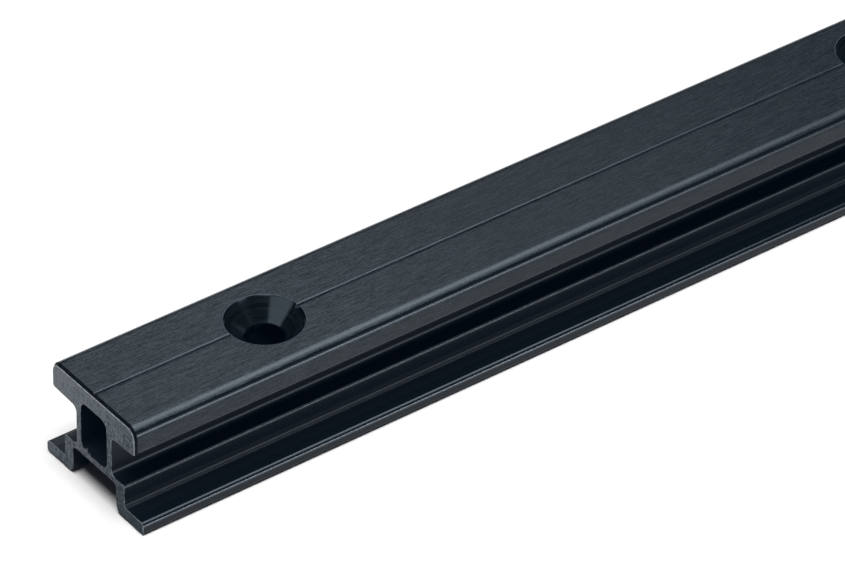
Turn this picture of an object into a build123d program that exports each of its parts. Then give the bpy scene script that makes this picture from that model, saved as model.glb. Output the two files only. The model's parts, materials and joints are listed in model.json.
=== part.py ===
# Short length of deck track for small boats: an aluminium extrusion with a wide flat
# head on a narrow hollow web, standing on two outward-turned feet. A car or slide
# runs along the head with its jaws in the two side races. Flat-head screws go down
# through the head and the web into the deck.
# Millimetres. X runs along the track, Y across it, Z up. The origin is on the level
# floor under the middle of the length and of the width.
import math
import os

from build123d import *

# Length and screw spacing
track_length = 600.0
hole_pitch = 100.0
first_hole_from_end = 26.0

# Overall height, from the floor to the top of the head
track_height = 15.32

# Head: the flat top and the two lips that the car's jaws reach under
head_width = 18.0
lip_edge_thickness = 4.05
lip_underside_drop = 0.25
head_top_radius = 1.65
lip_lower_radius = 0.7

# Web: the narrow hollow stem between the races
web_width = 7.5
web_wall = 0.95
lip_root_fillet = 0.9
roof_thickness = 2.7
hollow_corner_radius = 1.25

# Base: a ledge under each race, two legs and the open channel between them
ledge_height = 5.1
ledge_root_fillet = 0.75
ledge_edge_radius = 0.35
legs_overall_width = 12.9
leg_thickness = 1.75
channel_height = 4.3
floor_thickness = 0.85
channel_corner_radius = 0.7

# Feet: thin flanges turned outwards, each resting on a heel and a toe
foot_overall_width = 20.9
foot_thickness = 1.7
foot_root_fillet = 0.55
foot_top_radius = 0.65
foot_toe_radius = 0.35
heel_inner_radius = 1.1
heel_width = 1.9
heel_step_width = 0.3
relief_corner_radius = 0.12
foot_relief = 0.2
toe_pad_width = 0.25

# Centre line along the top of the head: a shallow V whose shoulders are rounded
score_width = 0.5
score_depth = 0.3
score_shoulder_radius = 0.35

# Holes for 5 mm screws with flat heads
screw_hole_diameter = 5.3
countersink_diameter = 10.45
countersink_angle = 90.0

# Filed edge round the head at each sawn end: how far along, down and in it reaches
bevel_length = 0.4
bevel_drop = 0.38
bevel_side = 0.25

# Half widths and levels that follow from the sizes above
head_half = head_width / 2
web_half = web_width / 2
legs_half = legs_overall_width / 2
channel_half = legs_half - leg_thickness
foot_half = foot_overall_width / 2
heel_outer = channel_half + heel_width
relief_start = heel_outer + heel_step_width
toe_inner = foot_half - foot_toe_radius - toe_pad_width
lip_edge_level = track_height - lip_edge_thickness
lip_root_level = lip_edge_level - lip_underside_drop
hollow_top = track_height - roof_thickness
hollow_bottom = channel_height + floor_thickness
hollow_width = web_width - 2 * web_wall

# One side of the section from the top down: across, up, corner radius
side_corners = [
    (head_half, track_height, head_top_radius),
    (head_half, lip_edge_level, lip_lower_radius),
    (web_half, lip_root_level, lip_root_fillet),
    (web_half, ledge_height, ledge_root_fillet),
    (legs_half, ledge_height, ledge_edge_radius),
    (legs_half, foot_thickness, foot_root_fillet),
    (foot_half, foot_thickness, foot_top_radius),
    (foot_half, 0, foot_toe_radius),
    (toe_inner, 0, relief_corner_radius),
    (relief_start, foot_relief, relief_corner_radius),
    (heel_outer, 0, relief_corner_radius),
    (channel_half, 0, heel_inner_radius),
    (channel_half, channel_height, channel_corner_radius),
]
other_side_corners = [(-across, up, radius) for across, up, radius in reversed(side_corners)]
score_corners = [
    (-score_width / 2, track_height, score_shoulder_radius),
    (0, track_height - score_depth, 0),
    (score_width / 2, track_height, score_shoulder_radius),
]
section_corners = side_corners + other_side_corners + score_corners
section_points = [(across, up) for across, up, radius in section_corners]
section_radii = [radius for across, up, radius in section_corners]
outline = FilletPolyline(*section_points, radius=section_radii, close=True)

# The hollow down the middle of the web
hollow_middle = (hollow_top + hollow_bottom) / 2
hollow = RectangleRounded(hollow_width, hollow_top - hollow_bottom, hollow_corner_radius)

# The extrusion, sawn to length
section = make_face(outline) - Pos(0, hollow_middle) * hollow
track = extrude(Plane.YZ * section, amount=track_length / 2, both=True)

# The filed edge: above the lips, each end tapers from the head's own outline to a
# smaller one at the saw cut. All that lies outside the taper is filed away.
def head_outline(x, half_width, top, corner_radius):
    corners = FilletPolyline(
        (-half_width, 0),
        (-half_width, top),
        (half_width, top),
        (half_width, 0),
        radius=[0, corner_radius, corner_radius, 0],
        close=True,
    )
    return Plane.YZ.offset(x) * make_face(corners)


for side in (-1, 1):
    end_x = side * track_length / 2
    bevel_x = end_x - side * bevel_length
    whole = head_outline(bevel_x, head_half, track_height, head_top_radius)
    cut_width = head_half - bevel_side
    cut = head_outline(end_x, cut_width, track_height - bevel_drop, head_top_radius - bevel_side)
    taper = loft([whole, cut], ruled=True)
    filed_zone = Pos((bevel_x + end_x) / 2, 0, lip_edge_level) * Box(
        bevel_length,
        head_width + head_top_radius,
        lip_edge_thickness + head_top_radius,
        align=(Align.CENTER, Align.CENTER, Align.MIN),
    )
    track -= filed_zone - taper

# Countersunk holes at the pitch, from the first to the last that clears the far end
hole_count = int((track_length - 2 * first_hole_from_end) // hole_pitch) + 1
half_angle = math.radians(countersink_angle / 2)
countersink_depth = (countersink_diameter - screw_hole_diameter) / 2 / math.tan(half_angle)
from_top = (Align.CENTER, Align.CENTER, Align.MAX)
drilled = Cylinder(screw_hole_diameter / 2, track_height, align=from_top)
sunk = Cone(screw_hole_diameter / 2, countersink_diameter / 2, countersink_depth, align=from_top)
for index in range(hole_count):
    hole_x = first_hole_from_end + index * hole_pitch - track_length / 2
    track -= Pos(hole_x, 0, track_height) * (drilled + sunk)

os.makedirs("parts", exist_ok=True)
export_step(track, "parts/track_extrusion.step")
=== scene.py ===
# %% [markdown]
# # Deck track for small boats
# The object is a short length of black hard-anodised aluminium track, the rail that a
# sheet car or a traveller slides along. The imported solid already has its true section,
# its countersunk holes and its filed ends. This lesson gives it its looks: the satin
# oxide skin with its lengthwise grain, the paler sawn end, the turned countersinks and
# the fine bright lines where a sharp edge was broken.
#
# The first cell only fetches the tools.

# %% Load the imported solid
import json
import math
import random

import bmesh
import bpy
from mathutils import Matrix, Vector


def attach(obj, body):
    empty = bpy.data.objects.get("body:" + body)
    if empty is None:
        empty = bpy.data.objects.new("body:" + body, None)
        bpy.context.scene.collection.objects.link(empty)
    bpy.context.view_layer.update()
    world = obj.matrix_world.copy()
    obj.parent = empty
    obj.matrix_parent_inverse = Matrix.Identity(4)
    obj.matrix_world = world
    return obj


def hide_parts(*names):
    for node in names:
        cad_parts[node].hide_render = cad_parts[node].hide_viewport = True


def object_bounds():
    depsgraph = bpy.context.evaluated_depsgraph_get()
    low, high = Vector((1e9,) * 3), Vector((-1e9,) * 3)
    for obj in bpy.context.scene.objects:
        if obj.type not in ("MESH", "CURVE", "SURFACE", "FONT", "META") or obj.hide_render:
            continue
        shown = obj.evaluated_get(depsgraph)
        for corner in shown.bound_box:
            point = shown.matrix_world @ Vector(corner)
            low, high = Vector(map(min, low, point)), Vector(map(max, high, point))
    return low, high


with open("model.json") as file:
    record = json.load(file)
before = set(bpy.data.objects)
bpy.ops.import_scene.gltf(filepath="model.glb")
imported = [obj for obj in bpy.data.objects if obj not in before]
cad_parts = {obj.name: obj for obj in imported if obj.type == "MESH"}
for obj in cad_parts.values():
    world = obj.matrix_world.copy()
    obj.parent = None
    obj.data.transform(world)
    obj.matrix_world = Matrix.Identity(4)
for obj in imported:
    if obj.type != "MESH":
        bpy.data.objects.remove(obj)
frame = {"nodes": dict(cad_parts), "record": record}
solid_low, solid_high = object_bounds()
solid = frame["nodes"]["track_extrusion"]
print("track box in mm:", [round(c * 1000, 2) for c in (*solid_low, *solid_high)])

# %% [markdown]
# ## Where things are
# The record that comes with the solid says where the screw holes are: pairs of them, a
# spacing apart. Everything else that this lesson places on the track is worked out from
# those pairs and from the solid's own box, so nothing has to be measured twice.

# %% Find the holes and the ends
mm = 0.001
half_length = solid_high[0]
track_top = solid_high[2]
hole_pairs = [m for m in frame["record"]["mounts"] if m["kind"] == "bolt_pattern"]
hole_pitch = hole_pairs[0]["dims"]["spacing_x_mm"] * mm
hole_places = sorted(
    pair["pos_m"][0] + side * hole_pitch / 2 for pair in hole_pairs for side in (-1, 1)
)
print("holes at", [round(x / mm, 1) for x in hole_places], "mm")

# %% [markdown]
# ## The camera
# A product photographer stands well back with a long lens, which keeps parallel edges
# nearly parallel. The track is seen from its sawn end, from the front and from above.
# Two angles say where the camera stands, one says how it is rolled, and it is placed
# backwards from the spot on the head that lies in the middle of the picture. The
# Standard view leaves the tones as they are, where the default one would soften them.

# %% Place the camera
aim_point = Vector((-0.254716, -0.007156, 0.01532))
camera_distance = 0.747734
seen_azimuth = math.radians(37.8239)
seen_elevation = math.radians(37.1353)
camera_roll = math.radians(-1.143)
lens_mm = 253.87

looking = Vector((
    math.sin(seen_azimuth) * math.cos(seen_elevation),
    math.cos(seen_azimuth) * math.cos(seen_elevation),
    -math.sin(seen_elevation),
))
level_right = Vector((math.cos(seen_azimuth), -math.sin(seen_azimuth), 0))
level_up = level_right.cross(looking)
picture_right = level_right * math.cos(camera_roll) - level_up * math.sin(camera_roll)
picture_up = level_up * math.cos(camera_roll) + level_right * math.sin(camera_roll)

camera_data = bpy.data.cameras.new("long_lens")
camera_data.lens = lens_mm
camera_data.sensor_width = 36
camera_data.clip_start = 0.01
camera_data.clip_end = 100
camera = bpy.data.objects.new("camera", camera_data)
bpy.context.scene.collection.objects.link(camera)
turn = Matrix((picture_right, picture_up, -looking)).transposed()
camera.matrix_world = Matrix.Translation(aim_point - looking * camera_distance) @ turn.to_4x4()
bpy.context.scene.camera = camera
bpy.context.scene.view_settings.view_transform = "Standard"
print("camera at", [round(c, 3) for c in camera.matrix_world.translation])

# %% [markdown]
# ## Sums on sockets
# A material is a graph of small nodes. Written out one by one it is hard to follow, so
# this class wraps a node's output and lets Python's own signs add the Math nodes:
# `1 - mask` becomes a Subtract node. Every other kind of node comes from `add_node`,
# which takes its settings first and then what goes into its sockets.

# %% A socket that can be used in sums
class Socket:
    """One output of a node in a material, ready for use in a Python sum."""

    def __init__(self, tree, output):
        self.tree = tree
        self.output = output

    def math(self, operation, *values):
        settings = {"operation": operation}
        return add_node(self.tree, "ShaderNodeMath", settings, dict(enumerate(values)))

    def __add__(self, other):
        return self.math("ADD", self, other)

    def __radd__(self, other):
        return self.math("ADD", other, self)

    def __sub__(self, other):
        return self.math("SUBTRACT", self, other)

    def __rsub__(self, other):
        return self.math("SUBTRACT", other, self)

    def __mul__(self, other):
        return self.math("MULTIPLY", self, other)

    def __rmul__(self, other):
        return self.math("MULTIPLY", other, self)

    def __gt__(self, other):
        return self.math("GREATER_THAN", self, other)

    def __lt__(self, other):
        return self.math("LESS_THAN", self, other)

    def __abs__(self):
        return self.math("ABSOLUTE", self)


def add_node(tree, kind, settings=None, inputs=None, out=0):
    """Adds a node, sets it up, fills its inputs and gives one of its outputs."""
    made = tree.nodes.new(kind)
    for name, value in (settings or {}).items():
        if name == "stops":
            ramp = made.color_ramp.elements
            while len(ramp) < len(value):
                ramp.new(0.5)
            for stop, (position, colour) in zip(ramp, value):
                stop.position = position
                stop.color = (*colour, 1)
        else:
            setattr(made, name, value)
    for name, value in (inputs or {}).items():
        if isinstance(value, Socket):
            tree.links.new(value.output, made.inputs[name])
        else:
            made.inputs[name].default_value = value
    return Socket(tree, made.outputs[out])


print("signs that a socket understands: + - * < > and abs()")

# %% [markdown]
# ## The table
# The track lies on a large matt white table. A backdrop that curves up behind would do as well
# from this side, but a flat table looks the same from all round. It lies a hair under the track,
# so that the two surfaces don't share one plane and flicker.

# %% White table
table_size = 30.0
table_gap = 0.2 * mm
table_white = 0.86
half = table_size / 2
table_mesh = bpy.data.meshes.new("table")
table_mesh.from_pydata(
    [(-half, -half, 0), (half, -half, 0), (half, half, 0), (-half, half, 0)], [], [(0, 1, 2, 3)]
)
table = bpy.data.objects.new("table", table_mesh)
bpy.context.scene.collection.objects.link(table)
table.location.z = -table_gap

matt_white = bpy.data.materials.new("matt_white_table")
matt_white.use_nodes = True
matt_shader = matt_white.node_tree.nodes["Principled BSDF"]
matt_shader.inputs["Base Color"].default_value = (table_white, table_white, table_white, 1)
matt_shader.inputs["Roughness"].default_value = 0.9
matt_shader.inputs["Specular IOR Level"].default_value = 0.0
table_mesh.materials.append(matt_white)
print("table:", table_size, "m square")

# %% [markdown]
# ## The room
# Black metal looks black because it mirrors a dark room, so the world is nearly black
# overhead. Only a low band at the horizon is as pale as the table, so that a picture
# taken from table height has a pale background too. A colour ramp over the height of
# the view direction does both in one node.

# %% Dark room with a pale horizon
pale = (0.88, 0.88, 0.89)
dim = (0.03, 0.03, 0.033)
pale_up_to = 0.045
dim_from = 0.07
room = bpy.data.worlds.new("room")
bpy.context.scene.world = room
room.use_nodes = True
room_tree = room.node_tree
room_tree.nodes.clear()
direction = add_node(room_tree, "ShaderNodeTexCoord", out="Generated")
up = add_node(room_tree, "ShaderNodeSeparateXYZ", inputs={0: direction}, out="Z")
horizon_stops = [(0.0, pale), (pale_up_to, pale), (dim_from, dim), (1.0, dim)]
shade = add_node(room_tree, "ShaderNodeValToRGB", {"stops": horizon_stops}, {0: up})
background = add_node(room_tree, "ShaderNodeBackground", inputs={"Color": shade})
room_out = room_tree.nodes.new("ShaderNodeOutputWorld")
room_tree.links.new(background.output, room_out.inputs["Surface"])
print("room:", len(room_tree.nodes), "nodes")

# %% [markdown]
# ## The panels
# Shiny black metal shows its lamps more than its own colour, so each panel is placed for
# the reflection it gives. A wide one behind on the right greys the flat head. Two long
# ones overhead draw the soft band along the head's rounded edge, and a low strip in
# front on the right draws the thin line under it. The one beside the sawn end is the
# pale wedge in the countersink.
#
# In a studio such panels are screened off from the table, because their pools of light
# would show on it. Light linking does the same here: the panels light only what is in
# the collection `metal_only`.

# %% Panels that only the metal sees
lit_spot = Vector((-0.24, 0, 0.01))
panel_colour = (0.94, 0.97, 1.0)
metal_only = bpy.data.collections.new("metal_only")


def toward(azimuth, elevation):
    """The direction that two angles in degrees point in, from the track outwards."""
    around, above = math.radians(azimuth), math.radians(elevation)
    flat = math.cos(above)
    return Vector((flat * math.cos(around), flat * math.sin(around), math.sin(above)))


def add_panel(name, azimuth, elevation, distance, width, height, brightness, twist=0):
    """A flat lamp that faces the track. Brightness is what a mirror would show of it."""
    outward = toward(azimuth, elevation)
    data = bpy.data.lights.new(name, "AREA")
    data.shape = "RECTANGLE"
    data.size = width
    data.size_y = height
    data.energy = brightness * math.pi * width * height
    data.color = panel_colour
    lamp = bpy.data.objects.new(name, data)
    bpy.context.scene.collection.objects.link(lamp)
    lamp.location = lit_spot + outward * distance
    lamp.rotation_mode = "QUATERNION"
    level_side = Vector((0, 0, 1)).cross(outward).normalized()
    upward = outward.cross(level_side)
    faces = Matrix((level_side, upward, outward)).transposed().to_quaternion()
    lamp.rotation_quaternion = faces @ Matrix.Rotation(math.radians(twist), 3, "Z").to_quaternion()
    lamp.visible_camera = False
    lamp.light_linking.receiver_collection = metal_only
    print(name, "at", [round(c, 2) for c in lamp.location])


add_panel("panel_back_right", 65, 48.5, 0.9, 0.515, 0.42, 1.40)
add_panel("panel_overhead", -10.5, 64.2, 0.9, 0.44, 0.28, 5.9, twist=12)
add_panel("panel_overhead_wide", -15.5, 63.0, 0.92, 0.95, 0.28, 4.7, twist=16)
add_panel("strip_front_right", -74, 4.2, 1.0, 0.60, 0.12, 26.0)
add_panel("panel_left", 176, 45.7, 0.925, 0.86, 0.30, 3.6, twist=19)

# %% [markdown]
# ## The light on the table
# The table needs a light of its own. A sun with a wide disc stands for a large soft
# light high above: it makes the whole table evenly white, out to the horizon, and
# leaves only a soft shadow where the track touches the table. An area lamp would fall
# off towards the edges of the table.

# %% Wide soft sun
sky_spread = math.radians(36)
sky_brightness = 3.95
sky_data = bpy.data.lights.new("sky_overhead", "SUN")
sky_data.angle = sky_spread
sky_data.energy = sky_brightness
sky = bpy.data.objects.new("sky_overhead", sky_data)
bpy.context.scene.collection.objects.link(sky)
sky.rotation_mode = "QUATERNION"
sky.rotation_quaternion = toward(230, 82).to_track_quat("Z", "Y")
print("soft sun:", round(math.degrees(sky_spread)), "degrees wide")

# %% [markdown]
# ## Breaking the sharp edges
# No sawn or drilled edge is perfectly sharp. After sawing, the edge is broken with a
# touch of a file, and the oxide rounds it a little more. That tiny round catches a lamp
# from nearly every side, which is why a real part has fine bright lines along its edges.
# A bump map can't do this, as it leaves the edge itself sharp, so the surface is copied
# and its edges are truly bevelled. The copy stands for the solid in the picture.
#
# The copy comes as triangles. Welding joins their corners, and a limited dissolve joins
# the triangles that lie in one plane, because only a whole flat face bevels cleanly.

# %% Copy the surface and join up its flat faces
weld_distance = 0.0001 * mm
flat_angle = math.radians(0.5)
surface = bmesh.new()
surface.from_mesh(solid.data)
bmesh.ops.remove_doubles(surface, verts=surface.verts, dist=weld_distance)
bmesh.ops.dissolve_limit(
    surface, angle_limit=flat_angle, verts=surface.verts, edges=surface.edges
)
print("welded surface:", len(surface.verts), "points,", len(surface.faces), "faces")

# %% [markdown]
# ## Round countersinks
# A solid that is turned into triangles gets long thin ones in its cones, and they shade
# in dark spikes. So each countersink's wall is taken out and turned again: a ring of
# points a little under the rim, one just above the drilled hole, and even faces between.
# A ready-made cone could be put in, but it would not meet the groove, where the rim dips.
#
# The first cell only measures: which hole a point belongs to, how far it is from that
# hole's axis, and whether it lies on the cone.

# %% Measures of the holes
near = 0.001 * mm
countersink_radius = 5.225 * mm
drill_radius = 2.65 * mm
countersink_depth = countersink_radius - drill_radius
groove_depth = 0.3 * mm


def hole_of(point):
    """The place along the track of the screw hole that a point is nearest to."""
    return min(hole_places, key=lambda x: abs(point.x - x))


def from_axis(point):
    """How far a point is from the axis of the nearest screw hole."""
    return math.hypot(point.x - hole_of(point), point.y)


def on_cone(point, slack):
    """Whether a point lies on the cone of the nearest countersink, give or take a bit."""
    depth = track_top - point.z
    return abs(from_axis(point) - (countersink_radius - depth)) < slack


def round_hole(point):
    """The angle of a point round the axis of the nearest screw hole."""
    return math.atan2(point.y, point.x - hole_of(point))


print("countersinks:", round(countersink_depth / mm, 3), "mm deep")

# %% [markdown]
# The rim comes first. On the flat top its chords are few and long, so each one is split
# and the new points go on the true circle. Where the rim dips through the groove the
# points are close together already, and they stay.

# %% Round off the rims
rim_step = math.radians(3)
point_slack = 0.04 * mm


def open_edges():
    """The edges that lack a face on one side, which lie round the hole in work."""
    return [edge for edge in surface.edges if edge.is_boundary]


def is_flat_chord(edge):
    """Whether an edge of the opened rim lies in the flat top of the head."""
    return all(
        track_top - v.co.z < near and abs(from_axis(v.co) - countersink_radius) < point_slack
        for v in edge.verts
    )


def round_chord(edge, hole_x):
    """Splits one long chord of a rim and puts the new points on the true circle."""
    before, end = edge.verts
    start_angle = round_hole(before.co)
    span = (round_hole(end.co) - start_angle + math.pi) % math.tau - math.pi
    parts = max(1, round(abs(span) / rim_step))
    for step in range(1, parts):
        added = bmesh.utils.edge_split(edge, before, 1 / (parts + 1 - step))[1]
        angle = start_angle + span * step / parts
        added.co.x = hole_x + countersink_radius * math.cos(angle)
        added.co.y = countersink_radius * math.sin(angle)
        edge = next(e for e in added.link_edges if e.other_vert(added) == end)
        before = added


print("a rim has a point every", round(math.degrees(rim_step)), "degrees or so")

# %% [markdown]
# The wall hangs from the rim as two skirts of even faces and a last one that joins the
# drilled hole. Each face also gets a number for its finish, which the materials use
# later. Where the drill broke through the groove it pushed a small burr over the wall,
# so there the rim itself is drawn out a little towards the hole.

# %% Turn the countersinks again
skin_slot, sawn_slot, turned_slot, edge_slot, rim_slot, filed_slot = range(6)
dice = random.Random(7)
burr_half_width = 0.45 * mm
longest_burr = 0.32 * mm
rim_ring_depth = 0.35 * mm
middle_slack = 0.5 * mm
last_ring_gap = 0.06 * mm


def ring_below(rim, hole_x, depth_of):
    """Points on the cone right under those of the rim, each at its own depth."""
    ring = []
    for vert in rim:
        depth, angle = depth_of(vert), round_hole(vert.co)
        radius = countersink_radius - depth
        place = (hole_x + radius * math.cos(angle), radius * math.sin(angle), track_top - depth)
        ring.append(surface.verts.new(place))
    return ring


def skirt(upper, lower):
    """Even faces between two rings of as many points."""
    for index in range(len(upper)):
        following = (index + 1) % len(upper)
        corners = (upper[index], upper[following], lower[following], lower[index])
        surface.faces.new(corners).material_index = turned_slot


def turn_countersink(hole_x):
    """Takes out one countersink's wall, turns it again and gives the points of its rim."""
    walls = [
        face for face in surface.faces
        if hole_of(face.calc_center_median()) == hole_x
        and all(on_cone(v.co, point_slack) for v in face.verts)
        and on_cone(face.calc_center_median(), middle_slack)
    ]
    bmesh.ops.delete(surface, geom=walls, context="FACES_KEEP_BOUNDARY")
    for chord in [edge for edge in open_edges() if is_flat_chord(edge)]:
        round_chord(chord, hole_x)
    round_the_hole = {vert for edge in open_edges() for vert in edge.verts}
    rim = [v for v in round_the_hole if track_top - v.co.z < groove_depth + near]
    rim.sort(key=lambda v: round_hole(v.co))
    under_rim = ring_below(rim, hole_x, lambda v: track_top - v.co.z + rim_ring_depth)
    last = ring_below(rim, hole_x, lambda v: countersink_depth - last_ring_gap)
    skirt(rim, under_rim)
    skirt(under_rim, last)
    for face in bmesh.ops.bridge_loops(surface, edges=open_edges())["faces"]:
        face.material_index = turned_slot
    return rim


def draw_out_burr(rim, hole_x):
    """Pulls the rim towards the hole where the groove runs out of it."""
    pull = dice.uniform(0.5, 1.0) * longest_burr
    for vert in rim:
        share = 1 - abs(vert.co.y) / burr_half_width
        if share > 0 and vert.co.x > hole_x:
            vert.co.x -= pull * share


for hole_x in hole_places:
    rim = turn_countersink(hole_x)
    draw_out_burr(rim, hole_x)
bmesh.ops.recalc_face_normals(surface, faces=surface.faces)
print("points on a rim:", len(rim), "open edges:", len(open_edges()))

# %% [markdown]
# ## The sawn ends and the rims
# The edges to break are those round the two sawn ends and the rims of the countersinks.
# Each is found by where it lies, and only where it is truly an edge: the surface turns
# there by more than a gentle angle. Before the bevel, the sawn faces and the filed slope
# round the head get the number of their finish, so that each bevel lies between two
# finishes and can have its own.

# %% Break the sawn ends and the countersink rims
sharp_angle = math.radians(25)
end_break = 0.08 * mm
rim_break = 0.05 * mm
filed_length = 0.45 * mm
square_to_track = 0.99
sloping = 0.3


def at_end(point):
    """Whether a point lies in one of the two sawn planes."""
    return abs(abs(point.x) - half_length) < near


def is_filed(face):
    """Whether a face is part of the filed slope beside a sawn end."""
    close_to_end = abs(face.calc_center_median().x) > half_length - filed_length
    return close_to_end and abs(face.normal.x) > sloping


def is_rim(edge):
    """Whether an edge parts the skin from a countersink at the top of its wall."""
    slots = {face.material_index for face in edge.link_faces}
    high_up = edge.verts[0].co.z > track_top - countersink_depth / 2
    return high_up and slots == {skin_slot, turned_slot}


def break_edges(edges, width, slot):
    """Bevels the sharp ones among the edges, and says how many there were."""
    sharp = [edge for edge in edges if edge.calc_face_angle(0) > sharp_angle]
    bmesh.ops.bevel(
        surface, geom=sharp, offset=width, offset_type="OFFSET", segments=2,
        profile=0.5, affect="EDGES", clamp_overlap=False, material=slot,
    )
    return len(sharp)


for face in surface.faces:
    if abs(face.normal.x) > square_to_track and at_end(face.calc_center_median()):
        face.material_index = sawn_slot
    elif is_filed(face):
        face.material_index = filed_slot
rim_count = break_edges([e for e in surface.edges if is_rim(e)], rim_break, rim_slot)
end_edges = [e for e in surface.edges if all(at_end(v.co) for v in e.verts)]
end_count = break_edges(end_edges, end_break, edge_slot)
print("broken edges:", rim_count, "on rims,", end_count, "at the sawn ends")

# %% [markdown]
# ## Burrs that the saw left
# A saw drags soft aluminium along and tears up small thorns where it comes out of the
# metal, here mostly on the floor of the hollow. Noise on the wall would spread them
# evenly, but on this track they stand in a few known places, so a short table gives the
# root and the tip of each. Each is a closed solid of three sides that stands in the
# sawn face, and the dice choose how far it leans.

# %% Stand the burrs in the sawn end
# across and up of root and tip, and width at the root, in millimetres
burrs = [
    (1.42, 4.95, 1.56, 6.00, 0.36),
    (1.80, 5.02, 1.92, 5.75, 0.32),
    (1.05, 4.98, 1.00, 5.62, 0.34),
    (2.15, 5.15, 2.02, 5.70, 0.26),
    (0.72, 5.00, 0.78, 5.36, 0.26),
    (-10.22, 0.85, -10.40, 1.55, 0.26),
    (9.85, 1.10, 9.68, 1.85, 0.26),
]
front_of_burr = 0.02
back_of_burr = 0.16
tip_of_burr = 0.05
most_lean = 0.3
# how far up the thorn each ring lies, and its share of the width at the root
root_and_waist = ((0.0, 1.0), (0.5, 0.65))
# a ring's corners: sideways as a share of its width, and how far behind the sawn face
three_sides = ((-0.5, front_of_burr), (0.5, front_of_burr), (0.0, back_of_burr))


def on_sawn_end(inward, across, up):
    """A new point at so many millimetres behind the sawn end, across and up."""
    return surface.verts.new((inward * mm - half_length, across * mm, up * mm))


def thorn(root_y, root_z, tip_y, tip_z, width):
    """A closed three-sided thorn of torn metal that stands in the sawn end."""
    root, tip = Vector((root_y, root_z)), Vector((tip_y, tip_z))
    along = tip - root
    side = Vector((-along.y, along.x)).normalized()
    bent = dice.uniform(-most_lean, most_lean) * width
    rings = []
    for share, spread in root_and_waist:
        middle = root + along * share + side * bent * share
        corners = [(middle + side * width * spread * s, inward) for s, inward in three_sides]
        rings.append([on_sawn_end(inward, *place) for place, inward in corners])
    top = on_sawn_end(tip_of_burr, tip_y, tip_z)
    low, high = rings
    faces = [surface.faces.new(low)]
    for index in range(3):
        following = (index + 1) % 3
        faces.append(surface.faces.new((low[index], low[following], high[following], high[index])))
        faces.append(surface.faces.new((high[index], high[following], top)))
    bmesh.ops.recalc_face_normals(surface, faces=faces)
    for face in faces:
        face.material_index = edge_slot


for burr in burrs:
    thorn(*burr)
print("burrs:", len(burrs), "open edges:", len(open_edges()))

# %% [markdown]
# ## The track that is shown
# The finished surface becomes an object of its own, which rides on the same body as the
# solid and takes its place. All faces are smooth, but edges where the surface turns
# more than gently stay crisp. So does the whole border of the filed slope, whatever its
# angle, as otherwise the groove's bright edge fades before it. A Weighted Normal
# modifier lets the flat faces win over the small round ones beside them, so that flat
# metal also looks flat.

# %% Make the shown track
crisp_angle = math.radians(32)
for face in surface.faces:
    face.smooth = True
for edge in surface.edges:
    finishes_met = {face.material_index for face in edge.link_faces}
    gentle = edge.calc_face_angle(0) < crisp_angle
    edge.smooth = gentle and finishes_met != {skin_slot, filed_slot}
for vert in surface.verts:
    vert.co.z = min(vert.co.z, track_top)
track_mesh = bpy.data.meshes.new("black_track")
surface.to_mesh(track_mesh)
surface.free()
track = bpy.data.objects.new("black_track", track_mesh)
bpy.context.scene.collection.objects.link(track)
even_out = track.modifiers.new("weighted_normals", "WEIGHTED_NORMAL")
even_out.keep_sharp = True
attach(track, "root")
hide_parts("track_extrusion")
metal_only.objects.link(track)
print("shown track:", len(track_mesh.polygons), "faces")

# %% [markdown]
# ## What the finishes share
# Hard anodising grows a glassy oxide on the aluminium and dyes it black. It is a clear, hard skin,
# so every finish here is a dark, slightly blue body under a gloss, and not a metal. Every finish
# also glows very weakly blue: that glow is painted light, which lifts the deepest shade to a trace
# of blue.
#
# The helpers make such a material, noise with grains of a known size, a colour between
# two others, and fine relief by way of a Bump node.

# %% Helpers for the finishes
track_ior = 1.30
track_tint = (0.80, 0.90, 0.99)
# A very weak blue glow on every finish: painted light, not a lamp, that lifts the deep shade.
painted_glow_colour = (0.08, 0.40, 1)
painted_glow_strength = 0.0040


def new_finish(name, ior=track_ior, tint=track_tint):
    """A fresh material with the gloss and the painted blue glow that all faces of the track share.
    """
    finish = bpy.data.materials.new(name)
    finish.use_nodes = True
    shader = finish.node_tree.nodes["Principled BSDF"]
    shader.inputs["IOR"].default_value = ior
    shader.inputs["Specular Tint"].default_value = (*tint, 1)
    shader.inputs["Emission Color"].default_value = (*painted_glow_colour, 1)
    shader.inputs["Emission Strength"].default_value = painted_glow_strength
    return finish, finish.node_tree, shader


def put(value, shader, name):
    """Feeds one socket of the shader."""
    value.tree.links.new(value.output, shader.inputs[name])


def place_on_track(tree, axis):
    """Where a spot lies along one axis, in metres."""
    place = add_node(tree, "ShaderNodeTexCoord", out="Object")
    return add_node(tree, "ShaderNodeSeparateXYZ", inputs={0: place}, out=axis)


def stretched_noise(tree, per_mm, detail, seed):
    """Noise with so many grains a millimetre along X, Y and Z."""
    place = add_node(tree, "ShaderNodeTexCoord", out="Object")
    stretch = tuple(grains / mm for grains in per_mm)
    scaled = add_node(
        tree, "ShaderNodeVectorMath", {"operation": "MULTIPLY"}, {0: place, 1: stretch}
    )
    return add_node(
        tree, "ShaderNodeTexNoise", {"noise_dimensions": "4D"},
        {"Vector": scaled, "W": seed, "Scale": 1.0, "Detail": detail, "Roughness": 0.65},
    )


def swing(noise, amount):
    """Noise that swings to both sides of zero, so strongly."""
    return (noise - 0.5) * amount


def shades(share, dark, light):
    """A colour between two, by a share from 0 to 1."""
    stops = [(0.0, dark), (1.0, light)]
    return add_node(share.tree, "ShaderNodeValToRGB", {"stops": stops}, {0: share})


def relief(height, depth):
    """Bumps that are at most so deep."""
    inputs = {"Height": height, "Strength": 1.0, "Distance": depth}
    return add_node(height.tree, "ShaderNodeBump", inputs=inputs)


print("gloss of the oxide: IOR", track_ior)

# %% [markdown]
# ## The drawn skin
# The press leaves fine lines along the track. A photograph of brushed metal could be
# laid over it, but noise that is stretched along X has no seams and no repeats: a fine
# one, a long one for the broader streaks, and short specks. The first two also tilt the
# surface a little.

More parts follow.
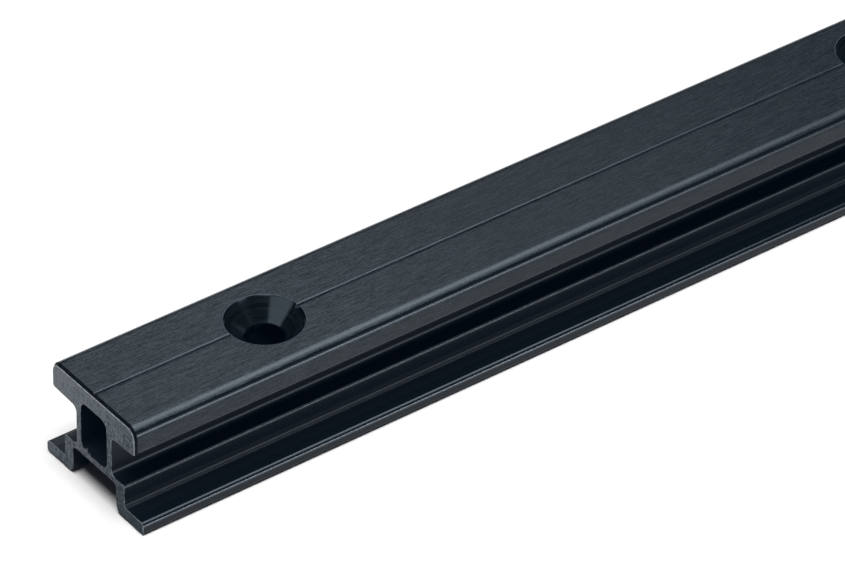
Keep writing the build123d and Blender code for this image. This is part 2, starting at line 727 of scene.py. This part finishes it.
# %% Lines along the track
skin, skin_tree, skin_shader = new_finish("drawn_skin")
fine_lines = stretched_noise(skin_tree, (0.35, 7.0, 7.0), detail=2.0, seed=1.0)
broad_lines = stretched_noise(skin_tree, (0.10, 3.0, 3.0), detail=2.0, seed=2.0)
specks = stretched_noise(skin_tree, (2.6, 8.0, 8.0), detail=1.0, seed=9.0)
line_depth = 0.004 * mm
put(relief(fine_lines * 0.5 + broad_lines * 0.5, line_depth), skin_shader, "Normal")
print("drawn lines:", round(line_depth / mm, 3), "mm deep")

# %% [markdown]
# A car wears the head, while the races and the hollow stay near full black: they get only a little
# of the paler shade, which is painted light in their shade. The outer side of the leg is a little
# paler too. The section is the same all along, so a level and a distance from the middle say where
# a spot lies on it. `zone` compares both and gives 1 inside and 0 outside. Painted masks would do
# this too, but they would have to be painted anew for each change of the section.

# %% Zones of the section
level = place_on_track(skin_tree, "Z")
from_middle = abs(place_on_track(skin_tree, "Y"))
below_all, above_all = -1.0, 99.0


def zone(low=below_all, high=above_all, inner=below_all, outer=above_all):
    """1 between two levels and two distances from the middle, in mm, and 0 elsewhere."""
    at_level = (level > low * mm) * (level < high * mm)
    at_distance = (from_middle > inner * mm) * (from_middle < outer * mm)
    return at_level * at_distance


in_hollow = zone(5.0, 12.65, outer=2.95)
on_head = zone(low=11.0) * (1 - in_hollow)
# A strip of the rounded edge that is painted black: a painted dark reflection.
painted_dark_band = zone(14.38, 14.80, inner=8.5)
in_race = zone(5.0, 11.6, inner=3.6)
on_leg = zone(2.2, 4.7, inner=6.3)
print("zones so far:", len(skin_tree.nodes), "nodes")

# %% [markdown]
# On the head the lines show as worn, greyer oxide. Each noise swings to both sides of the usual
# wear, and the sum picks a shade between full black and worn. Further along the track the lines
# get calmer and darker, which is a painted falloff of the light. The narrow strip under the
# rounded edge stays black, which is a painted dark reflection.

# %% Worn lines on the head, with painted shade
full_black = (0.0017, 0.0029, 0.0044)
worn_and_lit_black = (0.0212, 0.0268, 0.0312)
usual_wear = 0.42
calmer = 4.0
painted_dark_band_depth = 0.8
# Painted shade: along the track the head gets darker and its lines calmer, a painted falloff of
# the light.
painted_falloff = add_node(
    skin_tree, "ShaderNodeMapRange",
    inputs={
        "Value": place_on_track(skin_tree, "X"),
        "From Min": -265 * mm, "From Max": -239 * mm, "To Min": 0.0, "To Max": 0.13,
    },
)
worn_lines = swing(fine_lines, 2.8) + swing(specks, 2.0) + swing(broad_lines, 0.6)
# Worn lines, less the painted falloff and the painted black strip.
rubbed_and_painted_shade = worn_lines * (1 - painted_falloff * calmer) + usual_wear - painted_dark_band * painted_dark_band_depth - painted_falloff
# The hollow and the races get a little of the paler shade, which is painted light in their shade;
# the leg's outer side gets a little too.
wear = rubbed_and_painted_shade * on_head + in_hollow * 0.15 + in_race * 0.04 + on_leg * 0.1
worn_skin_and_painted_light = shades(wear, full_black, worn_and_lit_black)
print("usual wear on the head:", usual_wear)

# %% [markdown]
# The edge of the ledge and the upper edge of the toe get a thin paler line along the whole track,
# which is a painted highlight. The finished colour mixes these lines over the worn skin.

# %% Painted highlights on the ledge and the toe
painted_highlight_colour = (0.058, 0.065, 0.074)
# Painted highlights: thin paler lines on the ledge's edge and on the toe's upper edge.
painted_ledge_highlight = zone(4.64, 4.96, inner=6.2)
painted_toe_highlight = zone(1.12, 1.34, inner=10.2)
painted_highlights = painted_ledge_highlight * 0.45 + painted_toe_highlight * 0.75
skin_with_painted_highlights = add_node(
    skin_tree, "ShaderNodeMix", {"data_type": "RGBA"},
    {0: painted_highlights, 6: worn_skin_and_painted_light, 7: (*painted_highlight_colour, 1)}, out=2,
)
put(skin_with_painted_highlights, skin_shader, "Base Color")
print("pale lines on the ledge and the toe")

# %% [markdown]
# The die that shaped the track is polished less in its corners, so the skin is rougher beside the
# web and on the foot than on the head, and smoothest on the outer edges. One sum over the zones
# gives the roughness.

# %% Gloss of the skin
head_roughness = 0.21
beside_web = zone(high=11.0, outer=5.4)
foot_root = zone(1.71, 2.9, outer=8.6)
on_foot = zone(high=1.72, outer=8.6)
toe = zone(high=2.6, inner=8.6)
ledge_edge = zone(4.6, 5.2, inner=5.9)
rougher = fine_lines * 0.08 + beside_web * 0.15 + foot_root * 0.20 + on_foot * 0.12
smoother = (toe + ledge_edge) * 0.07
put(head_roughness + rougher - smoother, skin_shader, "Roughness")
print("drawn skin:", len(skin_tree.nodes), "nodes")

# %% [markdown]
# ## The filed slope of the head
# Round each sawn end somebody ran a file along the edge of the head before the track
# was anodised. The slope looks almost black, because it mirrors the dark room. A low
# IOR keeps its gloss weak, and short file marks roughen it.

# %% Filed slope
filed, filed_tree, filed_shader = new_finish("filed_bevel", ior=1.16)
file_mark_depth = 0.02 * mm
file_marks = stretched_noise(filed_tree, (1.0, 3.0, 3.0), detail=2.0, seed=8.0)
filed_share = swing(file_marks, 4) + 0.35
put(
    shades(filed_share, (0.0004, 0.0004, 0.0002), (0.0048, 0.0076, 0.0104)),
    filed_shader, "Base Color",
)
put(0.3 + file_marks * 0.2, filed_shader, "Roughness")
put(relief(file_marks, file_mark_depth), filed_shader, "Normal")
print("filed slope:", len(filed_tree.nodes), "nodes")

# %% [markdown]
# ## The sawn end
# The sawn face has no grain from the press. It is matt and greyer, with the lines of the saw
# across it and a fine grit. It is painted darker towards the bottom and the front, which is
# painted shade, and the same slopes make it a little smoother towards the top and the back. Two
# slopes in space and two noises give one share, and that share drives the colour and the roughness
# together, so that smooth spots are also the pale ones.

# %% Sawn end
sawn, sawn_tree, sawn_shader = new_finish("sawn_end", ior=1.35, tint=(0.82, 0.92, 1.0))
# Painted shade: the sawn end is darker towards the table and the front, lighter upward and to the
# back.
painted_shade_fade_upward = 0.7 / (14 * mm)
painted_shade_fade_to_the_back = 0.8 / (18 * mm)
saw_mark_depth = 0.01 * mm
grit = stretched_noise(sawn_tree, (2.2, 2.2, 2.2), detail=3.0, seed=3.0)
saw_lines = stretched_noise(sawn_tree, (0.1, 3.0, 0.35), detail=2.0, seed=4.0)
# This slope is that painted shade.
slope = place_on_track(sawn_tree, "Z") * painted_shade_fade_upward
slope = slope + place_on_track(sawn_tree, "Y") * painted_shade_fade_to_the_back + 0.1
smoothness_and_painted_shade = slope + swing(grit, 4.2) + swing(saw_lines, 2.2)
put(
    shades(smoothness_and_painted_shade, (0.010, 0.0175, 0.022), (0.060, 0.0745, 0.086)),
    sawn_shader, "Base Color",
)
put(0.68 - smoothness_and_painted_shade * 0.3, sawn_shader, "Roughness")
put(relief(grit * 0.5 + saw_lines * 0.5, saw_mark_depth), sawn_shader, "Normal")
print("sawn end:", len(sawn_tree.nodes), "nodes")

# %% [markdown]
# ## The turned countersinks
# A countersink is cut by a turning tool, so its marks are rings round the hole. On a
# cone, rings lie level, and so noise that changes fast with Z and hardly at all across
# makes them without any sums on angles. The freshly cut wall is the glossiest surface
# of the track.

# %% Turned countersinks
turned, turned_tree, turned_shader = new_finish("turned_countersink", tint=(0.70, 0.86, 1.0))
ring_depth = 0.004 * mm
turned_rings = stretched_noise(turned_tree, (0.15, 0.15, 5.0), detail=2.0, seed=5.0)
turned_share = swing(turned_rings, 3.0) + 0.45
put(
    shades(turned_share, (0.0004, 0.0008, 0.0006), (0.0043, 0.0066, 0.0078)),
    turned_shader, "Base Color",
)
put(0.13 + turned_rings * 0.1, turned_shader, "Roughness")
put(relief(turned_rings, ring_depth), turned_shader, "Normal")
print("turned countersinks:", len(turned_tree.nodes), "nodes")

# %% [markdown]
# ## The broken edges
# Along the sawn ends the oxide is worn through in places and bare aluminium shows, more so round
# the head, which is knocked first; the extra paleness round the head is also a painted highlight
# of the edge. Coarse noise decides where. A metal shader would be truer on the bare spots, but
# they are a tenth of a millimetre wide, so a pale grey body is enough.

# %% Broken edges
edge_wear, edge_tree, edge_shader = new_finish("broken_edge")
nicks = stretched_noise(edge_tree, (1.2, 1.2, 1.2), detail=2.0, seed=6.0)
# Round the head the edge is paler: partly wear and partly a painted highlight.
top_edge_with_painted_highlight = place_on_track(edge_tree, "Z") > 11 * mm
bare_metal_and_painted_highlight = swing(nicks, 1.6) + 0.16 + top_edge_with_painted_highlight * 0.36
put(shades(bare_metal_and_painted_highlight, (0.02, 0.026, 0.032), (0.34, 0.36, 0.39)), edge_shader, "Base Color")
put(0.4 + nicks * 0.2, edge_shader, "Roughness")
print("broken edges:", len(edge_tree.nodes), "nodes")

# %% [markdown]
# ## The worn rims
# The rims of the countersinks are broken too, but a screw head shelters them, so they
# are only a little paler than the skin. A weak gloss keeps them from flashing.

# %% Worn rims of the countersinks
rim_wear, rim_tree, rim_shader = new_finish("worn_rim", ior=1.2)
rim_marks = stretched_noise(rim_tree, (1.5, 1.5, 1.5), detail=2.0, seed=7.0)
rim_share = swing(rim_marks, 1.5) + 0.45
put(shades(rim_share, (0.008, 0.012, 0.018), (0.055, 0.064, 0.075)), rim_shader, "Base Color")
put(0.35 + rim_marks * 0.2, rim_shader, "Roughness")
print("worn rims:", len(rim_tree.nodes), "nodes")

# %% [markdown]
# ## The finishes meet the track
# Each face already has the number of its finish, so the materials only have to be given
# to the mesh in that same order.

# %% Give the track its finishes
for finish in (skin, sawn, turned, edge_wear, rim_wear, filed):
    track_mesh.materials.append(finish)
print("finishes:", [finish.name for finish in track_mesh.materials])
